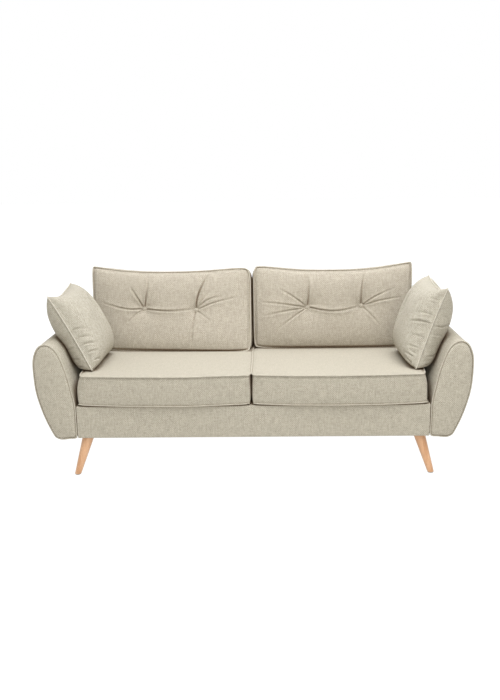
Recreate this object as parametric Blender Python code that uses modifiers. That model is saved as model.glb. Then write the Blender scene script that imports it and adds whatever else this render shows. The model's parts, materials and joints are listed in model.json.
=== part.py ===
"""A three-seat sofa with flared arms, loose cushions and splayed wooden legs.

Metres, +Z up, the sofa faces -Y and stands on z = 0. "left" is the -X side.
"""

import math

import bmesh
import bpy
from mathutils import Matrix, Vector

# ---- driving dimensions ----
CLEARANCE = 0.0003          # air left between pieces that touch
OBJECT_NAME = "sofa"
SIDES = (("left", -1), ("right", 1))

BASE_HALF_WIDTH = 0.8315    # the seat frame, between the arms
BASE_BOTTOM = 0.185         # underside of the upholstered base
BASE_FRONT = -0.437         # face of the front rail cover
RAIL_TOP = 0.336
DECK_TOP = 0.341
RAIL_THICKNESS = 0.030
PLATE_THICKNESS = 0.003
POST_SIZE = 0.060           # square corner posts that the legs bolt into
FRAME_FRONT = -0.425
FRAME_REAR = 0.371
FRAME_BOTTOM = BASE_BOTTOM + PLATE_THICKNESS + 2 * CLEARANCE

ARM_FRONT = -0.445
ARM_REAR = 0.400
ARM_INNER = 0.832           # inner face of an arm beside the seat frame
ARM_WALL = 0.006            # padding and fabric over the arm's boards
ARM_BOARD = 0.018
ARM_BOARD_INSET = ARM_WALL + 0.002
ARM_RAIL_OUT = (0.096, 0.146)   # the arm's top rail: distances out from ARM_INNER
ARM_RAIL_HEIGHTS = (0.575, 0.608)
# Half of the leaf-shaped outline: distance out from ARM_INNER, and height.
ARM_PROFILE = (
    (0.000, 0.188), (0.000, 0.345), (0.013, 0.415), (0.036, 0.517), (0.070, 0.605),
    (0.115, 0.641), (0.158, 0.629), (0.184, 0.575), (0.188, 0.500), (0.180, 0.400),
    (0.150, 0.290), (0.104, 0.188),
)

LEG_TOP = (0.788, 0.0285)   # distance from the middle, radius
LEG_FOOT = (0.843, 0.0155)
LEG_SIDES = 24
LEG_ROWS = {                # row: y of the leg's top and of its foot
    "front": (-0.392, -0.428),
    "rear": (0.338, 0.384),
}
GLIDE_HEIGHT = 0.004
GLIDE_RADII = (0.013, 0.014)    # at its faces, and round its middle
GLIDE_EASE = 0.001
BOLT_RADIUS = 0.004
BOLT_EASE = 0.003
BOLT_IN_LEG = 0.030
BOLT_IN_POST = 0.045
HOLE_MARGIN = 0.001         # how much wider than its bolt or shank a hole is
DRILL_SIDES = 16
CENTRE_BEAM_HALF = 0.020
CENTRE_BEAM_DROP = 0.018    # how far it stays below the rails' tops, clear of the springs

SPRING_STRANDS = 4
SPRING_WAVES = 7
SPRING_SWING = 0.032        # how far the wire swings to each side
SPRING_RADIUS = 0.0019
SPRING_FIRST = 0.15         # x of the strand closest to the middle
SPRING_PITCH = 0.172
SPRING_END_GAP = 0.004

RAIL_LIP = 0.065            # how far the front rail's cover turns in over the deck
DUST_COVER = 0.0015
PLATE_CUT_OUT = (0.17, 0.20)    # heights of the dust cover's corner cut-outs

BACK_SLOPE = 0.17           # metres back for each metre up
BACK_FRONT = 0.2675         # inside back's y at DECK_TOP
BACK_TOP = 0.820
BACK_TOP_HALF_WIDTH = 0.8675
BACK_REAR_BOTTOM = 0.382    # outside back's y at BASE_BOTTOM
BACK_REAR_TOP = 0.4491      # outside back's y at BACK_TOP
BACK_PADDING = 0.012
BACK_POST_DEPTH = 0.045
BACK_POST_SLOPE = 0.105     # the posts lean like the outside back
BACK_PANEL = 0.010
BACK_PANEL_EASE = 0.003
BACK_POST_SPOTS = (("left", -0.785), ("centre", 0.0), ("right", 0.785))
BACK_POST_HALF = 0.020
BACK_TOP_RAIL_DROP = 0.045  # from BACK_TOP down to the posts' heads
LUMBAR_RAIL = (0.805, 0.430, 0.060, 0.012)  # half length, foot, height, thickness
WEB_COLUMNS = 9
WEB_ROWS = 3
WEB_STRAP = 0.050
WEB_HALF_WIDTH = 0.775      # to the middle of the outermost strap
WEB_THICKNESS = 0.0015

SEAT_FRONT = -0.447
SEAT_REAR = 0.262
SEAT_TOP = 0.487
SEAT_HALF_WIDTH = 0.815
CUSHION_GAP = 0.006         # between the two cushions of a pair
COVER_WALL = 0.004
FOAM_GAP = 0.001
SEAT_ROUNDING = 0.018
BACK_ROUNDING = 0.025

BACK_CUSHION_FRONT = 0.118  # y of the front face where it meets the seat
BACK_CUSHION_DEPTH = 0.170
BACK_CUSHION_TOP = 0.900
BACK_CUSHION_HALF_WIDTH = 0.852
BUTTON_HEIGHT = 0.700
BUTTON_SPOTS = {"inner": 0.293, "outer": 0.584}
BUTTON_RADIUS = 0.014
BUTTON_SHANK = 0.0022
SHANK_LENGTH = 0.040
BUTTON_HOLE = (0.020, 0.045)    # how far the hole reaches out of the face, and in

PILLOW_SIZE = 0.430
PILLOW_EDGE = 0.006         # half thickness at the seam
PILLOW_WAIST = 0.08         # how far the edges draw in, as a share of the size
PILLOW_Y = -0.150
PILLOWS = {                 # side: lean in degrees, foot's distance from the middle,
    "left": (28.0, 0.762, 0.060, 0.092),    # half thickness towards the arm and the seat
    "right": (20.0, 0.768, 0.076, 0.092),
}


# ---- materials ----
def material(name, colour, roughness, metallic=0.0):
    made = bpy.data.materials.new(name)
    made.use_nodes = True
    shader = made.node_tree.nodes["Principled BSDF"]
    shader.inputs["Base Color"].default_value = (*colour, 1.0)
    shader.inputs["Roughness"].default_value = roughness
    shader.inputs["Metallic"].default_value = metallic
    made.diffuse_color = (*colour, 1.0)
    return made


FINISHES = {
    "upholstery": ((0.58, 0.53, 0.43), 0.95, 0.0),
    "timber": ((0.62, 0.46, 0.29), 0.70, 0.0),
    "plywood": ((0.66, 0.50, 0.32), 0.70, 0.0),
    "leg_wood": ((0.71, 0.45, 0.26), 0.45, 0.0),
    "steel": ((0.55, 0.55, 0.56), 0.35, 1.0),
    "webbing": ((0.08, 0.08, 0.08), 0.90, 0.0),
    "lining": ((0.03, 0.03, 0.03), 0.95, 0.0),
    "foam": ((0.85, 0.80, 0.62), 0.90, 0.0),
    "felt": ((0.35, 0.33, 0.30), 0.95, 0.0),
}


# ---- helpers ----
def place(name, mesh, finish, collection, parent=None):
    """A mesh as a named object with a material of its own."""
    piece = bpy.data.objects.new(name, mesh)
    piece.data.materials.append(material(name, *FINISHES[finish]))
    collection.objects.link(piece)
    if parent:
        piece.parent = parent
        piece.matrix_parent_inverse = parent.matrix_world.inverted()
    return piece


def to_mesh(name, bm):
    bm.normal_update()
    bmesh.ops.recalc_face_normals(bm, faces=bm.faces)
    mesh = bpy.data.meshes.new(name)
    bm.to_mesh(mesh)
    bm.free()
    return mesh


def block(low, high, lean=0.0, taper=0.0):
    """A box as a bmesh. It leans back and widens by so much for each metre up."""
    bm = bmesh.new()
    bmesh.ops.create_cube(bm, size=1.0)
    low, high = Vector(low), Vector(high)
    middle, size = (low + high) / 2, high - low
    for v in bm.verts:
        v.co = middle + Vector(a * b for a, b in zip(v.co, size))
        rise = v.co.z - low.z
        v.co.y += lean * rise
        v.co.x += math.copysign(taper * rise, v.co.x)
    return bm


def extrusion(outline, way):
    """A flat outline drawn out along way."""
    bm = bmesh.new()
    face = bm.faces.new([bm.verts.new(p) for p in outline])
    grown = bmesh.ops.extrude_face_region(bm, geom=[face])["geom"]
    moved = [v for v in grown if isinstance(v, bmesh.types.BMVert)]
    bmesh.ops.translate(bm, vec=way, verts=moved)
    bm.normal_update()
    bmesh.ops.recalc_face_normals(bm, faces=bm.faces)
    return bm


def add_bevel(piece, width, segments=1):
    bevel = piece.modifiers.new("Bevel", "BEVEL")
    bevel.width = width
    bevel.segments = segments
    bevel.limit_method = "ANGLE"
    return bevel


def add_wall(piece, thickness):
    """Turns an open surface into a shell whose outside is that surface."""
    wall = piece.modifiers.new("Solidify", "SOLIDIFY")
    wall.thickness = thickness
    wall.offset = -1.0
    wall.use_even_offset = True
    return wall


def beam(name, low, high, collection, finish="timber", lean=0.0, bevel=0.002):
    """A straight timber, or a flat board, with softened edges."""
    piece = place(name, to_mesh(name, block(low, high, lean)), finish, collection)
    if bevel:
        add_bevel(piece, bevel)
    return piece


def mirrored_x(low, high, side):
    """The ends of a stretch of X on one side of the sofa, in rising order."""
    ends = sorted((side * low, side * high))
    return ends[0], ends[1]


def cut_away(piece, name, bm, cutters):
    """Takes a hidden shape out of a piece."""
    cutter = bpy.data.objects.new(name, to_mesh(name, bm))
    cutter.hide_render = True
    cutter.display_type = "WIRE"
    cutters.objects.link(cutter)
    cut = piece.modifiers.new("Boolean", "BOOLEAN")
    cut.operation = "DIFFERENCE"
    cut.solver = "EXACT"
    cut.object = cutter


def drill(piece, name, start, end, radius, cutters):
    """Bores a round hole from start to end."""
    start, end = Vector(start), Vector(end)
    way = end - start
    bm = bmesh.new()
    bmesh.ops.create_cone(bm, cap_ends=True, segments=DRILL_SIDES, radius1=radius,
                          radius2=radius, depth=way.length)
    turn = way.to_track_quat("Z", "Y").to_matrix().to_4x4()
    bmesh.ops.transform(bm, matrix=Matrix.Translation((start + end) / 2) @ turn, verts=bm.verts)
    cut_away(piece, name, bm, cutters)


def turned(name, profile, finish, collection, steps=16, parent=None):
    """A round piece from (radius, height) points, listed from the top down."""
    mesh = bpy.data.meshes.new(name)
    points = [(r, 0, z) for r, z in profile]
    mesh.from_pydata(points, [(i, i + 1) for i in range(len(points) - 1)], [])
    piece = place(name, mesh, finish, collection, parent)
    screw = piece.modifiers.new("Screw", "SCREW")
    screw.steps = screw.render_steps = steps
    screw.use_merge_vertices = True
    screw.merge_threshold = 0.0001
    return piece


def smooth_line(points, steps):
    """Points along a Catmull-Rom curve through the given ones."""
    ends = [points[0], *points, points[-1]]
    line = []
    for a, b, c, d in zip(ends, ends[1:], ends[2:], ends[3:]):
        for k in range(steps):
            t = k / steps
            line.append(tuple(
                0.5 * (2 * q + (r - p) * t + (2 * p - 5 * q + 4 * r - s) * t * t
                       + (3 * q - p - 3 * r + s) * t ** 3)
                for p, q, r, s in zip(a, b, c, d)))
    return [*line, tuple(points[-1])]


# ---- legs and the seat frame ----
def corner_spots():
    """Every leg's name ending, side and row."""
    return [(f"{row}_{side}", sign, row) for row in LEG_ROWS for side, sign in SIDES]


def post_box(sign, row):
    x = mirrored_x(BASE_HALF_WIDTH - POST_SIZE, BASE_HALF_WIDTH, sign)
    y0 = FRAME_FRONT if row == "front" else FRAME_REAR - POST_SIZE
    return (x[0], y0, FRAME_BOTTOM), (x[1], y0 + POST_SIZE, RAIL_TOP)


def make_corner(ending, sign, row, collection, cutters):
    """A corner post, its steel leg plate, the leg, its bolt and its felt glide."""
    top_y, foot_y = LEG_ROWS[row]
    top_x = sign * LEG_TOP[0]
    low, high = post_box(sign, row)
    post = beam(f"corner_post_{ending}", low, high, collection)
    plate = beam(f"leg_plate_{ending}", (low[0], low[1], BASE_BOTTOM + CLEARANCE),
                 (high[0], high[1], FRAME_BOTTOM - CLEARANCE), collection, "steel", bevel=0)
    leg = make_leg(ending, sign, row, collection)
    bolt_low, bolt_high = BASE_BOTTOM - BOLT_IN_LEG, FRAME_BOTTOM + BOLT_IN_POST
    for piece in (post, plate, leg):
        drill(piece, f"bolt_hole_{piece.name}", (top_x, top_y, bolt_low - BOLT_EASE),
              (top_x, top_y, bolt_high + BOLT_EASE), BOLT_RADIUS + HOLE_MARGIN, cutters)
    bolt = turned(f"leg_bolt_{ending}",
                  ((0, bolt_high), (BOLT_RADIUS, bolt_high - BOLT_EASE),
                   (BOLT_RADIUS, bolt_low + BOLT_EASE), (0, bolt_low)),
                  "steel", collection, steps=12)
    bolt.location = (top_x, top_y, 0)
    face, middle = GLIDE_RADII
    top = GLIDE_HEIGHT - CLEARANCE
    glide = turned(f"glide_{ending}",
                   ((0, top), (face, top), (middle, GLIDE_EASE), (face, 0), (0, 0)),
                   "felt", collection, steps=20)
    glide.location = (sign * LEG_FOOT[0], foot_y, 0)


def make_leg(ending, sign, row, collection):
    """A tapered round leg. It is sheared, so both its ends are level."""
    top_y, foot_y = LEG_ROWS[row]
    height = BASE_BOTTOM - GLIDE_HEIGHT
    bm = bmesh.new()
    bmesh.ops.create_cone(bm, cap_ends=True, segments=LEG_SIDES,
                          radius1=LEG_FOOT[1], radius2=LEG_TOP[1], depth=height)
    foot = Vector((sign * LEG_FOOT[0], foot_y, 0))
    top = Vector((sign * LEG_TOP[0], top_y, 0))
    for v in bm.verts:
        v.co += foot.lerp(top, v.co.z / height + 0.5)
        v.co.z += GLIDE_HEIGHT + height / 2
    return place(f"leg_{ending}", to_mesh(f"leg_{ending}", bm), "leg_wood", collection)


def make_seat_frame(collection):
    inner = BASE_HALF_WIDTH - POST_SIZE - CLEARANCE
    front = (-inner, FRAME_FRONT, FRAME_BOTTOM), (inner, FRAME_FRONT + RAIL_THICKNESS, RAIL_TOP)
    rear = (-inner, FRAME_REAR - RAIL_THICKNESS, FRAME_BOTTOM), (inner, FRAME_REAR, RAIL_TOP)
    beam("base_front_rail", *front, collection)
    beam("base_rear_rail", *rear, collection)
    side_y = FRAME_FRONT + POST_SIZE + CLEARANCE, FRAME_REAR - POST_SIZE - CLEARANCE
    for side, sign in SIDES:
        x = mirrored_x(BASE_HALF_WIDTH - RAIL_THICKNESS, BASE_HALF_WIDTH, sign)
        beam(f"base_side_rail_{side}", (x[0], side_y[0], FRAME_BOTTOM),
             (x[1], side_y[1], RAIL_TOP), collection)
    beam("base_centre_beam",
         (-CENTRE_BEAM_HALF, FRAME_FRONT + RAIL_THICKNESS + CLEARANCE, FRAME_BOTTOM),
         (CENTRE_BEAM_HALF, FRAME_REAR - RAIL_THICKNESS - CLEARANCE, RAIL_TOP - CENTRE_BEAM_DROP),
         collection)


def spring_path(sign):
    """(x, y) along a zigzag wire that crosses the seat to and fro, in strands."""
    front = FRAME_FRONT + RAIL_THICKNESS + SPRING_END_GAP
    length = FRAME_REAR - RAIL_THICKNESS - SPRING_END_GAP - front
    last = SPRING_WAVES * 4
    path = []
    for strand in range(SPRING_STRANDS):
        x = SPRING_FIRST + strand * SPRING_PITCH
        steps = range(last + 1)
        for k in steps if strand % 2 == 0 else reversed(steps):
            way = (1, 1, -1, -1)[(k + 1) % 4] if 0 < k < last else 0
            path.append((sign * (x + SPRING_SWING * way), front + length * k / last))
    return path


def make_springs(side, sign, collection):
    """One continuous spring wire on each side of the centre beam."""
    path = spring_path(sign)
    curve = bpy.data.curves.new(f"seat_springs_{side}", "CURVE")
    curve.dimensions = "3D"
    curve.bevel_depth = SPRING_RADIUS
    curve.bevel_resolution = 1
    curve.use_fill_caps = True
    spline = curve.splines.new("POLY")
    spline.points.add(len(path) - 1)
    height = RAIL_TOP - SPRING_RADIUS - 0.001
    for point, (x, y) in zip(spline.points, path):
        point.co = (x, y, height, 1)
    place(f"seat_springs_{side}", curve, "steel", collection)


def make_platform(collection, cutters):
    """The cloth deck over the springs, the padded front rail cover and the dust cover."""
    lip = FRAME_FRONT + RAIL_LIP
    half = BASE_HALF_WIDTH - CLEARANCE
    cover = [(BASE_FRONT, BASE_BOTTOM), (FRAME_FRONT - CLEARANCE, BASE_BOTTOM),
             (FRAME_FRONT - CLEARANCE, RAIL_TOP + CLEARANCE), (lip, RAIL_TOP + CLEARANCE),
             (lip, DECK_TOP), (BASE_FRONT, DECK_TOP)]
    bm = extrusion([(-half, y, z) for y, z in cover], (2 * half, 0, 0))
    place("front_rail_cover", to_mesh("front_rail_cover", bm), "upholstery", collection)
    beam("seat_deck", (-half, lip + CLEARANCE, RAIL_TOP + CLEARANCE),
         (half, BACK_FRONT - 0.002, DECK_TOP), collection, "lining", bevel=0)
    dust_top = FRAME_BOTTOM - CLEARANCE
    dust = beam("dust_cover", (-half, FRAME_FRONT, dust_top - DUST_COVER),
                (half, FRAME_REAR, dust_top), collection, "lining", bevel=0)
    for ending, sign, row in corner_spots():
        low, high = post_box(sign, row)
        past_front, past_rear = (0.001, 0.011) if row == "rear" else (0.011, 0.001)
        bm = block((low[0] - 0.001, low[1] - past_front, PLATE_CUT_OUT[0]),
                   (high[0] + 0.001, high[1] + past_rear, PLATE_CUT_OUT[1]))
        cut_away(dust, f"plate_cut_out_{ending}", bm, cutters)


# ---- arms ----
def arm_outline(inset=0.0):
    """The arm's outline as (distance out from ARM_INNER, height), pulled in by inset."""
    outline = [Vector(p) for p in (ARM_PROFILE[0], *smooth_line(ARM_PROFILE[1:], 2))]
    if not inset:
        return outline
    pulled = []
    for before, here, after in zip([outline[-1], *outline], outline, [*outline[1:], outline[0]]):
        first, second = (here - before).normalized(), (after - here).normalized()
        inward = [Vector((way.y, -way.x)) for way in (first, second)]
        pulled.append(here + (inward[0] + inward[1]) * inset / (1 + first.dot(second)))
    return pulled


def arm_prism(sign, inset, y0, y1):
    """The arm's outline drawn out from y0 to y1."""
    ring = [(sign * (ARM_INNER + p.x), y0, p.y) for p in arm_outline(inset)]
    return extrusion(ring, (0, y1 - y0, 0))


def make_arm(side, sign, collection):
    """Two leaf-shaped boards, the rail that joins them, and the padded cover, open below."""
    bm = arm_prism(sign, 0, ARM_FRONT, ARM_REAR)
    underside = [f for f in bm.faces if f.normal.z < -0.9]
    bmesh.ops.delete(bm, geom=underside, context="FACES")
    name = f"arm_upholstery_{side}"
    mesh = bpy.data.meshes.new(name)
    bm.to_mesh(mesh)
    bm.free()
    add_wall(place(name, mesh, "upholstery", collection), ARM_WALL)
    front, rear = ARM_FRONT + ARM_BOARD_INSET, ARM_REAR - ARM_BOARD_INSET - ARM_BOARD
    for end, y0 in (("front", front), ("rear", rear)):
        bm = arm_prism(sign, ARM_BOARD_INSET, y0, y0 + ARM_BOARD)
        name = f"arm_board_{end}_{side}"
        place(name, to_mesh(name, bm), "plywood", collection)
    x = mirrored_x(*(ARM_INNER + out for out in ARM_RAIL_OUT), sign)
    beam(f"arm_top_rail_{side}", (x[0], front + ARM_BOARD + CLEARANCE, ARM_RAIL_HEIGHTS[0]),
         (x[1], rear - CLEARANCE, ARM_RAIL_HEIGHTS[1]), collection)


# ---- back ----
def inside_back_y(z):
    return BACK_FRONT + BACK_SLOPE * (z - DECK_TOP)


def back_half_width(z):
    """The back widens upwards between the flared arms."""
    share = (z - DECK_TOP) / (BACK_TOP - DECK_TOP)
    narrow = BASE_HALF_WIDTH - 0.004
    return narrow + (BACK_TOP_HALF_WIDTH - narrow) * share


def outside_back_y(z):
    share = (z - BASE_BOTTOM) / (BACK_TOP - BASE_BOTTOM)
    return BACK_REAR_BOTTOM + (BACK_REAR_TOP - BACK_REAR_BOTTOM) * share


def make_back_frame(collection):
    foot, head = RAIL_TOP + CLEARANCE, BACK_TOP - BACK_TOP_RAIL_DROP
    front = FRAME_REAR - BACK_POST_DEPTH
    for name, x in BACK_POST_SPOTS:
        beam(f"back_post_{name}", (x - BACK_POST_HALF, front, foot),
             (x + BACK_POST_HALF, FRAME_REAR, head), collection, lean=BACK_POST_SLOPE)
    top_y = front + BACK_POST_SLOPE * (head - foot)
    top_half = back_half_width(head) - BACK_PADDING - 0.004
    beam("back_top_rail", (-top_half, top_y, head + CLEARANCE),
         (top_half, top_y + BACK_POST_DEPTH, BACK_TOP - BACK_PADDING - 0.002), collection,
         lean=BACK_POST_SLOPE)
    half, low, height, thickness = LUMBAR_RAIL
    rear = FRAME_REAR + BACK_POST_SLOPE * (low - foot) + CLEARANCE
    beam("back_lumbar_rail", (-half, rear, low), (half, rear + thickness, low + height),
         collection, lean=BACK_POST_SLOPE)
    make_webbing(front, foot, head, collection)


def make_webbing(front, foot, head, collection):
    """Elastic straps woven over the front of the back posts, as one net."""
    edges = (-WEB_STRAP / 2, WEB_STRAP / 2)
    x_pitch = 2 * WEB_HALF_WIDTH / (WEB_COLUMNS - 1)
    low, high = foot + 0.02 + WEB_STRAP / 2, head - 0.01 - WEB_STRAP / 2
    z_pitch = (high - low) / (WEB_ROWS - 1)
    xs = [-WEB_HALF_WIDTH + i * x_pitch + edge for i in range(WEB_COLUMNS) for edge in edges]
    zs = [low + j * z_pitch + edge for j in range(WEB_ROWS) for edge in edges]
    bm = bmesh.new()
    grid = [[bm.verts.new((x, front + BACK_POST_SLOPE * (z - foot) - CLEARANCE, z)) for x in xs]
            for z in zs]
    for j in range(len(zs) - 1):
        for i in range(len(xs) - 1):
            if i % 2 == 0 or j % 2 == 0:
                bm.faces.new((grid[j][i], grid[j][i + 1], grid[j + 1][i + 1], grid[j + 1][i]))
    net = place("back_webbing", to_mesh("back_webbing", bm), "webbing", collection)
    wall = add_wall(net, WEB_THICKNESS)
    faces_front = net.data.polygons[0].normal.y < 0
    wall.offset = 1.0 if faces_front else -1.0


def make_back_covers(collection):
    """The padded inside back wraps the front, top and sides. A panel closes the rear."""
    bm = bmesh.new()
    bmesh.ops.create_cube(bm, size=1.0)
    low = DECK_TOP + CLEARANCE
    for v in bm.verts:
        z = BACK_TOP if v.co.z > 0 else low
        y = outside_back_y(z) - BACK_PANEL - 0.002 if v.co.y > 0 else inside_back_y(z)
        v.co = (math.copysign(back_half_width(z), v.co.x), y, z)
    open_faces = [f for f in bm.faces if f.normal.y > 0.9 or f.normal.z < -0.9]
    bmesh.ops.delete(bm, geom=open_faces, context="FACES")
    mesh = bpy.data.meshes.new("inside_back_cover")
    bm.to_mesh(mesh)
    bm.free()
    cover = place("inside_back_cover", mesh, "upholstery", collection)
    add_wall(cover, BACK_PADDING)
    outline = [(sign * back_half_width(z), z)
               for sign, heights in ((-1, (BACK_TOP, DECK_TOP)), (1, (DECK_TOP, BACK_TOP)))
               for z in heights]
    outline[2:2] = [(sign * back_half_width(DECK_TOP), BASE_BOTTOM) for sign in (-1, 1)]
    bm = extrusion([(x, outside_back_y(z), z) for x, z in outline], (0, -BACK_PANEL, 0))
    panel = place("outside_back_panel", to_mesh("outside_back_panel", bm), "upholstery", collection)
    add_bevel(panel, BACK_PANEL_EASE)


# ---- loose cushions ----
def holder(name, spot, collection):
    """The empty that a loose cushion's pieces hang from, on the line it slides along."""
    made = bpy.data.objects.new(name, None)
    made.empty_display_size = 0.1
    made.location = spot
    collection.objects.link(made)
    bpy.context.view_layer.update()
    return made


def cushion_cover(name, low, high, lean, soft, collection, parent):
    """A boxed cover with rounded edges and a long zip opening at the rear."""
    bm = block(low, high, lean)
    bmesh.ops.recalc_face_normals(bm, faces=bm.faces)
    bmesh.ops.bevel(bm, geom=bm.edges[:], offset=soft, segments=2, profile=0.5, affect="EDGES")
    rear = max(bm.faces, key=lambda f: (round(f.normal.y, 3), f.calc_area()))
    margin = 0.45 * (high[2] - low[2] - 2 * soft)
    bmesh.ops.inset_individual(bm, faces=[rear], thickness=margin)
    bmesh.ops.delete(bm, geom=[rear], context="FACES")
    mesh = bpy.data.meshes.new(name)
    bm.to_mesh(mesh)
    bm.free()
    cover = place(name, mesh, "upholstery", collection, parent)
    add_wall(cover, COVER_WALL)
    return cover


def cushion_fill(name, low, high, lean, soft, collection, parent):
    """The foam or fibre block inside a cover."""
    gap = COVER_WALL + FOAM_GAP
    inner_low = [a + gap for a in low]
    inner_low[1] += lean * gap
    inner_high = [a - gap for a in high]
    inner_high[1] += lean * gap
    bm = block(inner_low, inner_high, lean)
    bmesh.ops.bevel(bm, geom=bm.edges[:], offset=soft, segments=2, profile=0.5, affect="EDGES")
    return place(name, to_mesh(name, bm), "foam", collection, parent)


def make_seat_cushion(side, sign, collection):
    x = mirrored_x(CUSHION_GAP / 2, SEAT_HALF_WIDTH, sign)
    low = (x[0], SEAT_FRONT, DECK_TOP + 2 * CLEARANCE)
    high = (x[1], SEAT_REAR, SEAT_TOP)
    parent = holder(f"seat_cushion_{side}_slide", (sum(x) / 2, SEAT_FRONT, SEAT_TOP), collection)
    cushion_cover(f"seat_cushion_cover_{side}", low, high, 0, SEAT_ROUNDING, collection, parent)
    cushion_fill(f"seat_cushion_foam_{side}", low, high, 0, SEAT_ROUNDING, collection, parent)


def make_back_cushion(side, sign, collection, cutters):
    x = mirrored_x(CUSHION_GAP / 2, BACK_CUSHION_HALF_WIDTH, sign)
    foot = SEAT_TOP + 2 * CLEARANCE
    front = BACK_CUSHION_FRONT
    low = (x[0], front, foot)
    high = (x[1], front + BACK_CUSHION_DEPTH, BACK_CUSHION_TOP)
    parent = holder(f"back_cushion_{side}_lift", (sum(x) / 2, front, foot), collection)
    cover = cushion_cover(f"back_cushion_cover_{side}", low, high, BACK_SLOPE, BACK_ROUNDING,
                          collection, parent)
    fill = cushion_fill(f"back_cushion_fill_{side}", low, high, BACK_SLOPE, BACK_ROUNDING,
                        collection, parent)
    tilt = math.atan(BACK_SLOPE)
    outward = Vector((0, -math.cos(tilt), math.sin(tilt)))
    for name, spot in BUTTON_SPOTS.items():
        on_face = Vector((sign * spot, front + BACK_SLOPE * (BUTTON_HEIGHT - foot), BUTTON_HEIGHT))
        start, end = on_face + outward * BUTTON_HOLE[0], on_face - outward * BUTTON_HOLE[1]
        for piece in (cover, fill):
            drill(piece, f"button_hole_{name}_{piece.name}", start, end,
                  BUTTON_SHANK + HOLE_MARGIN, cutters)
        button = make_button(f"button_{side}_{name}", collection, parent)
        button.rotation_euler = outward.to_track_quat("Z", "Y").to_euler()
        button.location = on_face + outward * CLEARANCE


def make_button(name, collection, parent):
    """A domed, cloth-covered button with its shank."""
    dome = [(BUTTON_RADIUS * math.sin(a), 0.002 + 0.006 * math.cos(a))
            for a in (math.radians(18 * k) for k in range(6))]
    profile = [*dome, (BUTTON_RADIUS * 0.9, 0), (BUTTON_SHANK, 0),
               (BUTTON_SHANK, -SHANK_LENGTH), (0, -SHANK_LENGTH)]
    return turned(name, profile, "upholstery", collection, parent=parent)


def make_pillow(side, sign, collection):
    """A soft square pillow that leans outwards on its arm."""
    degrees, foot, outer, inner = PILLOWS[side]
    lean = math.radians(degrees)
    bm = bmesh.new()
    bmesh.ops.create_cube(bm, size=1.0)
    bmesh.ops.subdivide_edges(bm, edges=bm.edges[:], cuts=5, use_grid_fill=True)
    for v in bm.verts:
        across, up, puff = 2 * v.co.y, 2 * v.co.z, 2 * v.co.x
        dome = math.sqrt((1 - across ** 2) * (1 - up ** 2))
        out = puff * (PILLOW_EDGE + (outer if puff > 0 else inner) * dome)
        pinch = 1 - PILLOW_WAIST * (1 - max(abs(across), abs(up)) ** 2)
        along = (1 + up * pinch) * PILLOW_SIZE / 2
        x = foot + along * math.sin(lean) + out * math.cos(lean)
        z = SEAT_TOP + PILLOW_EDGE + along * math.cos(lean) - out * math.sin(lean)
        v.co = (sign * x, PILLOW_Y + across * pinch * PILLOW_SIZE / 2, z)
    name = f"throw_pillow_{side}"
    parent = holder(f"{name}_lift", (sign * foot, PILLOW_Y, SEAT_TOP), collection)
    place(name, to_mesh(name, bm), "upholstery", collection, parent)


def main():
    for old in list(bpy.data.objects):
        bpy.data.objects.remove(old, do_unlink=True)
    collection = bpy.data.collections.new(OBJECT_NAME)
    cutters = bpy.data.collections.new(f"{OBJECT_NAME}_cutters")
    for group in (collection, cutters):
        bpy.context.scene.collection.children.link(group)
    make_seat_frame(collection)
    for ending, sign, row in corner_spots():
        make_corner(ending, sign, row, collection, cutters)
    make_platform(collection, cutters)
    make_back_frame(collection)
    make_back_covers(collection)
    for side, sign in SIDES:
        make_springs(side, sign, collection)
        make_arm(side, sign, collection)
        make_seat_cushion(side, sign, collection)
        make_back_cushion(side, sign, collection, cutters)
        make_pillow(side, sign, collection)


main()
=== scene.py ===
"""The looks of a three-seat sofa with loose cushions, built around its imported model.

Metres, +Z up, the sofa faces -Y. "left" is the -X side. Places come from the frame's nodes.
"""

import json
import math

import bmesh
import bpy
import numpy as np
from mathutils import Matrix, Vector


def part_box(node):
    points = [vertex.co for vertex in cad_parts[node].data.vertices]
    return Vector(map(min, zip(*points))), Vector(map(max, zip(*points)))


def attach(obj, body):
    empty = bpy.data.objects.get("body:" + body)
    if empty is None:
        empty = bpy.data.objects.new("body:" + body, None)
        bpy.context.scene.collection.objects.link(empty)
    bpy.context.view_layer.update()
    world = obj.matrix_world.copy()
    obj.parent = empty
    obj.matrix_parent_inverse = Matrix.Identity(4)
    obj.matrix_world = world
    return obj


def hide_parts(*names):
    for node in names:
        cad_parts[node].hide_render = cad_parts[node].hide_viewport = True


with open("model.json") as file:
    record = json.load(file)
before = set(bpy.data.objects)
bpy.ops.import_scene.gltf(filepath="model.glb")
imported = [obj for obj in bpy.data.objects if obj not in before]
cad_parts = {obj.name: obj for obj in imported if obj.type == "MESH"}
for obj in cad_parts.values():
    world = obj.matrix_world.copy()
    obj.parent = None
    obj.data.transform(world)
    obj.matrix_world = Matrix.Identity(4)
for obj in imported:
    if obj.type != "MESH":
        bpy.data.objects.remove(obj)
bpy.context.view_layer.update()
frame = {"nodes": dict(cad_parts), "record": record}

# ---- named sizes ----
SIDES = (("left", -1), ("right", 1))
PIPING = 0.0034             # radius of the fabric-covered cord in the seams
PILLOW_PIPING = 0.0027
THREAD = 0.0050             # pitch of the weave
SEAM_DEPTH = 0.0045         # depth of the dip beside the cord of a cushion

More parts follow.
